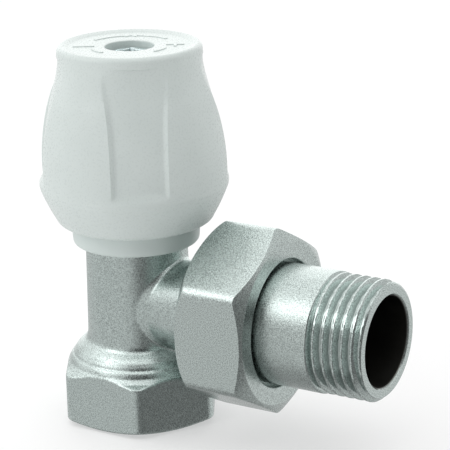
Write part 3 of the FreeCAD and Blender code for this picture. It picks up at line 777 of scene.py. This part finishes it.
class Nodes:
    """Small helper for building one material."""

    def __init__(self, name):
        self.material = bpy.data.materials.new(name)
        self.material.use_nodes = True
        self.tree = self.material.node_tree
        self.shader = self.tree.nodes["Principled BSDF"]
        self.coords = self.add("ShaderNodeTexCoord").outputs["Object"]

    def add(self, kind, **settings):
        node = self.tree.nodes.new(kind)
        for key, value in settings.items():
            setattr(node, key, value)
        return node

    def link(self, source, target):
        self.tree.links.new(source, target)

    def noise(self, scale, rough=0.5):
        node = self.add("ShaderNodeTexNoise")
        node.inputs["Scale"].default_value = scale
        node.inputs["Detail"].default_value = 2.0
        node.inputs["Roughness"].default_value = rough
        self.link(self.coords, node.inputs["Vector"])
        return node.outputs["Fac"]

    def ramp(self, source, low, high, a=0.35, b=0.65):
        """Source values a to b mapped to numbers low to high."""
        node = self.add("ShaderNodeMapRange")
        for socket, value in zip(("From Min", "From Max", "To Min", "To Max"), (a, b, low, high)):
            node.inputs[socket].default_value = value
        self.link(source, node.inputs["Value"])
        return node.outputs["Result"]

    def blend(self, factor, first, second):
        """Two fixed colours mixed by a factor."""
        node = self.add("ShaderNodeMix", data_type="RGBA")
        node.inputs["A"].default_value = (*first, 1)
        node.inputs["B"].default_value = (*second, 1)
        self.link(factor, node.inputs["Factor"])
        return node.outputs["Result"]

    def tint(self, factor, colour, second):
        """A linked colour turning into a fixed one as the factor rises."""
        node = self.add("ShaderNodeMix", data_type="RGBA")
        node.inputs["B"].default_value = second
        self.link(factor, node.inputs["Factor"])
        self.link(colour, node.inputs["A"])
        return node.outputs["Result"]

    def maths(self, operation, a, b):
        node = self.add("ShaderNodeMath", operation=operation)
        for socket, value in zip(node.inputs, (a, b)):
            if isinstance(value, (int, float)):
                socket.default_value = value
            else:
                self.link(value, socket)
        return node.outputs["Value"]

    def bump(self, height, distance, strength=1.0):
        node = self.add("ShaderNodeBump")
        node.inputs["Strength"].default_value = strength
        node.inputs["Distance"].default_value = distance
        self.link(height, node.inputs["Height"])
        self.link(node.outputs["Normal"], self.shader.inputs["Normal"])

    def axis(self, name):
        node = self.add("ShaderNodeSeparateXYZ")
        self.link(self.coords, node.inputs[0])
        return node.outputs[name]

    def set(self, **values):
        for key, value in values.items():
            self.shader.inputs[key.replace("_", " ")].default_value = value


# Tail bore and thread: radius and painted shade colour of the bore, how much smoother the cut is, roots'
# colour.
BORE_R = 7.95
BORE_SHADE_COLOUR = (0.11, 0.11, 0.10, 1)
CUT_POLISH = 0.16
# The roots' colour is partly dirt and oxide, partly painted shade in the thread's hollows.
ROOT_DIRT_AND_SHADE = (0.40, 0.45, 0.435, 1)


def metal(name, light, dark, rough, spread, grain_size, grain_depth, smooth_from=None):
    """Satin metal with a fine cast grain; past smooth_from along X it is cut bright with dirt and painted
    shade in its thread roots, and its bore is dull and painted dark as shade.
    """
    m = Nodes(name)
    grain = m.noise(1 / (grain_size * MM), 0.6)
    cloud = m.noise(1 / (4.0 * MM))
    colour = m.blend(m.ramp(grain, 0, 1, 0.36, 0.64), dark, light)
    patches = m.ramp(cloud, rough - spread / 2, rough + spread / 2)
    amount = m.maths("ADD", m.ramp(grain, -spread, spread), patches)
    height = grain
    if smooth_from:
        cut = m.ramp(m.axis("X"), 0, 1, smooth_from * MM, (smooth_from + 0.4) * MM)
        amount = m.maths("SUBTRACT", amount, m.maths("MULTIPLY", cut, CUT_POLISH))
        height = m.maths("MULTIPLY", grain, m.maths("SUBTRACT", 1.0, m.maths("MULTIPLY", cut, 0.85)))
        up = m.maths("SUBTRACT", m.axis("Z"), OUT_Z * MM)
        square = m.maths("ADD", m.maths("MULTIPLY", up, up), m.maths("MULTIPLY", m.axis("Y"), m.axis("Y")))
        # Painted shade: inside the bore's radius the colour turns dark, standing in for the shadow down the
        # bore, and the surface is rougher.
        inside = m.ramp(square, 1, 0, (BORE_R * MM) ** 2, ((BORE_R + 0.2) * MM) ** 2)
        # Thread roots darkened by radius: partly dirt, partly painted shade where the roots lie in shadow;
        # the end rim is left out.
        root = m.ramp(square, 1, 0, ((HALF_R - DEPTH) * MM) ** 2, ((HALF_R - 0.35) * MM) ** 2)
        rim = m.ramp(m.axis("X"), 1, 0, (TAIL_END - 0.9) * MM, (TAIL_END - 0.5) * MM)
        colour = m.tint(m.maths("MULTIPLY", m.maths("MULTIPLY", root, rim), cut), colour, ROOT_DIRT_AND_SHADE)
        colour = m.tint(inside, colour, BORE_SHADE_COLOUR)
        amount = m.maths("ADD", amount, m.maths("MULTIPLY", inside, 0.3))
    m.link(colour, m.shader.inputs["Base Color"])
    m.link(amount, m.shader.inputs["Roughness"])
    m.bump(height, grain_depth * MM)
    m.set(Metallic=1.0)
    return m.material


def plastic(name, light, dark, rough, grain_depth=0.01):
    """Moulded plastic or rubber with a faint cloud and a fine grain."""
    m = Nodes(name)
    cloud = m.noise(1 / (6.0 * MM))
    grain = m.noise(1 / (0.35 * MM))
    m.link(m.blend(m.ramp(cloud, 0, 1), dark, light), m.shader.inputs["Base Color"])
    m.link(m.ramp(grain, rough - 0.05, rough + 0.05), m.shader.inputs["Roughness"])
    m.bump(grain, grain_depth * MM, 0.5)
    m.set(Metallic=0.0, Specular_IOR_Level=0.5)
    return m.material


materials = {
    "body_nickel": metal("body_nickel", (0.73, 0.825, 0.80), (0.35, 0.40, 0.387), 0.29, 0.05, 0.20, 0.030),
    "nut_nickel": metal("nut_nickel", (0.73, 0.82, 0.795), (0.36, 0.405, 0.392), 0.28, 0.05, 0.20, 0.030),
    "tail_nickel": metal("tail_nickel", (0.72, 0.81, 0.785), (0.34, 0.385, 0.372), 0.28, 0.05, 0.20, 0.035,
                         THREAD_START - 0.1),
    "bonnet_brass": metal("bonnet_brass", (0.78, 0.60, 0.28), (0.66, 0.48, 0.20), 0.25, 0.05, 0.5, 0.006),
    "gland_brass": metal("gland_brass", (0.80, 0.62, 0.30), (0.68, 0.50, 0.22), 0.22, 0.05, 0.5, 0.006),
    "follower_brass": metal("follower_brass", (0.78, 0.60, 0.28), (0.66, 0.48, 0.2), 0.3, 0.05, 0.5, 0.006),
    "plug_brass": metal("plug_brass", (0.76, 0.58, 0.26), (0.64, 0.46, 0.2), 0.28, 0.05, 0.5, 0.006),
    "spindle_brass": metal("spindle_brass", (0.80, 0.63, 0.32), (0.70, 0.53, 0.25), 0.20, 0.04, 0.6, 0.005),
    "oring_rubber": plastic("oring_rubber", (0.03, 0.03, 0.03), (0.02, 0.02, 0.02), 0.55),
    "packing_rubber": plastic("packing_rubber", (0.04, 0.04, 0.04), (0.025, 0.025, 0.025), 0.65),
    "seal_rubber": plastic("seal_rubber", (0.05, 0.05, 0.05), (0.03, 0.03, 0.03), 0.6),
    "washer_steel": metal("washer_steel", (0.66, 0.67, 0.67), (0.56, 0.57, 0.57), 0.25, 0.05, 0.5, 0.004),
    "plug_screw_steel": metal("plug_screw_steel", (0.66, 0.67, 0.67), (0.56, 0.57, 0.57), 0.25, 0.05, 0.5,
                              0.004),
    "clip_steel": metal("clip_steel", (0.42, 0.43, 0.45), (0.34, 0.35, 0.37), 0.3, 0.05, 0.5, 0.004),
    "thrust_plastic": plastic("thrust_plastic", (0.86, 0.85, 0.80), (0.80, 0.79, 0.74), 0.45),
    "zinc_screw": metal("zinc_screw", (0.80, 0.90, 0.90), (0.62, 0.72, 0.73), 0.22, 0.05, 0.5, 0.008),
    "zinc_washer": metal("zinc_washer", (0.72, 0.80, 0.80), (0.60, 0.68, 0.69), 0.28, 0.05, 0.5, 0.008),
    "white_cap": plastic("white_cap", (0.685, 0.75, 0.73), (0.665, 0.73, 0.71), 0.30, 0.002),
    "white_collar": plastic("white_collar", (0.66, 0.735, 0.715), (0.64, 0.715, 0.695), 0.36, 0.005),
}

node_body = {node: body for body, nodes in frame["record"]["behaviour"]["bodies"].items() for node in nodes}
node_slot = {part["node"]: part["material_slot"] for part in frame["record"]["subparts"]}


def stand_in(piece, node, replaced=True):
    """Dress a visual piece in its node's material and let it ride with the node's body."""
    piece.data.materials.clear()
    piece.data.materials.append(materials[node_slot[node]])
    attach(piece, node_body[node])
    if replaced:
        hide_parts(node)


# ---------------------------------------------------------------- pieces on the frame

# Grid steps of the two meshes made from distance fields, and the boxes that they fill.
BODY_STEP = 0.22
SCREW_STEP = 0.09
body_box = [(-16.2, -14.4, -0.7), (SPIGOT_END + 0.7, 14.4, TOWER_TOP + 0.7)]
screw_box = [(-4.3, -4.3, SCREW_TIP - 0.4), (4.3, 4.3, SCREW_TOP + 0.4)]
stand_in(field_mesh("valve_body_casting", body_field, *body_box, BODY_STEP, 40), "valve_body")
stand_in(lathe("union_nut_turned", "x", nut_profile, 240, 34), "union_nut")
stand_in(lathe("tailpiece_threaded", "x", tail_profile, 288, 40), "tailpiece")
stand_in(lathe("collar_ring_moulded", "z", collar_profile, 160, 34), "collar_ring")
stand_in(lathe("cap_moulded", "z", cap_skin, sharp=34, turns=cap_columns()), "cap")
stand_in(field_mesh("cap_screw_head", screw_field, *screw_box, SCREW_STEP, 35), "cap_screw")
stand_in(cap_marks(), "cap", False)
stand_in(cap_ribs(), "cap", False)

dressed = {"valve_body", "union_nut", "tailpiece", "collar_ring", "cap", "cap_screw"}
for name, node in frame["nodes"].items():
    if name in dressed:
        continue
    for spot in node.material_slots:
        spot.material = materials[node_slot[name]]
    if not node.material_slots:
        node.data.materials.append(materials[node_slot[name]])


# ---------------------------------------------------------------- stage, light and camera

FLOOR_HALF = 3.0
FLOOR_DROP = 0.0002
LAMP_DISTANCE = 0.5
LAMP_AIM = (10, 0, 34)


def stage_floor():
    """Pale paper that glows a little, so that the shadow on it stays faint."""
    mesh = bpy.data.meshes.new("floor")
    a, b = -FLOOR_HALF, FLOOR_HALF
    mesh.from_pydata([(a, a, 0), (b, a, 0), (b, b, 0), (a, b, 0)], [], [(0, 1, 2, 3)])
    floor = bpy.data.objects.new("floor", mesh)
    bpy.context.scene.collection.objects.link(floor)
    paper = Nodes("floor_paper")
    paper.link(paper.blend(paper.ramp(paper.noise(8.0), 0, 1), (0.52, 0.52, 0.52), (0.54, 0.54, 0.54)),
               paper.shader.inputs["Base Color"])
    paper.set(Roughness=0.9, Specular_IOR_Level=0.1, Emission_Color=(1, 1, 1, 1), Emission_Strength=0.46)
    mesh.materials.append(paper.material)
    floor.location.z = -FLOOR_DROP
    floor.visible_glossy = False


def outward(azimuth, elevation):
    """Unit vector at an azimuth, counted from -Y towards +X, and an elevation, both in degrees."""
    az, el = math.radians(azimuth), math.radians(elevation)
    return Vector((math.sin(az) * math.cos(el), -math.cos(az) * math.cos(el), math.sin(el)))


def area_light(name, azimuth, elevation, size, power):
    """Square soft box in a direction from the object, aimed at its middle."""
    data = bpy.data.lights.new(name, "AREA")
    data.shape = "RECTANGLE"
    data.size = data.size_y = size
    data.energy = power
    lamp = bpy.data.objects.new(name, data)
    away = outward(azimuth, elevation)
    lamp.location = Vector(LAMP_AIM) * MM + away * LAMP_DISTANCE
    lamp.rotation_euler = (-away).to_track_quat("-Z", "Y").to_euler()
    bpy.context.scene.collection.objects.link(lamp)


# Strength of the surround below the horizon, then areas laid over it as (direction, cosine of the angle
# off it where the area starts, cosine where it is full, strength).
BELOW = 0.68
SURROUND = [((0, 0, 1), -0.12, 0.25, 0.76),
            ((0, 0, 1), 0.50, 0.95, 1.35),
            ((0, 0, -1), 0.45, 0.90, 0.36),
            ((-0.52, -0.85, -0.35), 0.75, 0.90, 0.66),
            ((0.52, 0.80, -0.28), 0.80, 0.95, 0.74),
            ((0.94, -0.32, -0.16), 0.55, 0.85, 0.20),
            ((-0.52, 0.85, 0.30), 0.75, 0.95, 1.50),
            ((0.46, -0.75, 0.47), 0.88, 0.96, 0.05)]


def studio_world():
    """Soft light from above, a grey surround below, and light and dark cards that the metal mirrors."""
    world = bpy.data.worlds.new("studio")
    world.use_nodes = True
    tree = world.node_tree
    shade = tree.nodes["Background"]
    coords = tree.nodes.new("ShaderNodeTexCoord").outputs["Generated"]

    def spread(direction, start, stop):
        """0 to 1 as the view turns from start to stop, both cosines of the angle off a direction."""
        along = tree.nodes.new("ShaderNodeVectorMath")
        along.operation = "DOT_PRODUCT"
        along.inputs[1].default_value = Vector(direction).normalized()
        tree.links.new(coords, along.inputs[0])
        ramp = tree.nodes.new("ShaderNodeMapRange")
        ramp.interpolation_type = "SMOOTHSTEP"
        ramp.inputs["From Min"].default_value = start
        ramp.inputs["From Max"].default_value = stop
        tree.links.new(along.outputs["Value"], ramp.inputs["Value"])
        return ramp.outputs["Result"]

    strength = None
    for direction, start, stop, value in SURROUND:
        mix = tree.nodes.new("ShaderNodeMix")
        if strength:
            tree.links.new(strength, mix.inputs["A"])
        else:
            mix.inputs["A"].default_value = BELOW
        mix.inputs["B"].default_value = value
        tree.links.new(spread(direction, start, stop), mix.inputs["Factor"])
        strength = mix.outputs["Result"]
    tree.links.new(strength, shade.inputs["Strength"])
    shade.inputs["Color"].default_value = (1.0, 1.0, 1.0, 1)
    bpy.context.scene.world = world


# Angles in degrees but for the roll, lengths in millimetres. The aim is how far to the right of the origin
# and above it the camera points, in the picture's own plane.
CAMERA_AZIMUTH = 31.61
CAMERA_ELEVATION = 17.36
CAMERA_ROLL = math.radians(-1.39)
CAMERA_DISTANCE = 375.2
CAMERA_AIM = (15.063, 33.510)
CAMERA_LENS = 163.2
SENSOR_WIDTH = 36.0


def photo_camera():
    """Long lens a little above the valve, aimed to the right of and above the foot's centre."""
    az = math.radians(CAMERA_AZIMUTH)
    back = outward(CAMERA_AZIMUTH, CAMERA_ELEVATION)
    right = Vector((math.cos(az), math.sin(az), 0))
    up = back.cross(right)
    side = right * math.cos(CAMERA_ROLL) + up * math.sin(CAMERA_ROLL)
    rise = up * math.cos(CAMERA_ROLL) - right * math.sin(CAMERA_ROLL)
    spot = (side * CAMERA_AIM[0] + rise * CAMERA_AIM[1] + back * CAMERA_DISTANCE) * MM
    data = bpy.data.cameras.new("photo")
    data.sensor_width = SENSOR_WIDTH
    data.lens = CAMERA_LENS
    data.clip_start, data.clip_end = 0.01, 10.0
    camera = bpy.data.objects.new("photo", data)
    camera.matrix_world = Matrix.Translation(spot) @ Matrix((side, rise, back)).transposed().to_4x4()
    bpy.context.scene.collection.objects.link(camera)
    bpy.context.scene.camera = camera


stage_floor()
studio_world()
area_light("key", -35, 40, 0.25, 0.28)
area_light("side", -80, 30, 0.4, 0.20)
photo_camera()
bpy.context.scene.view_settings.view_transform = "Standard"
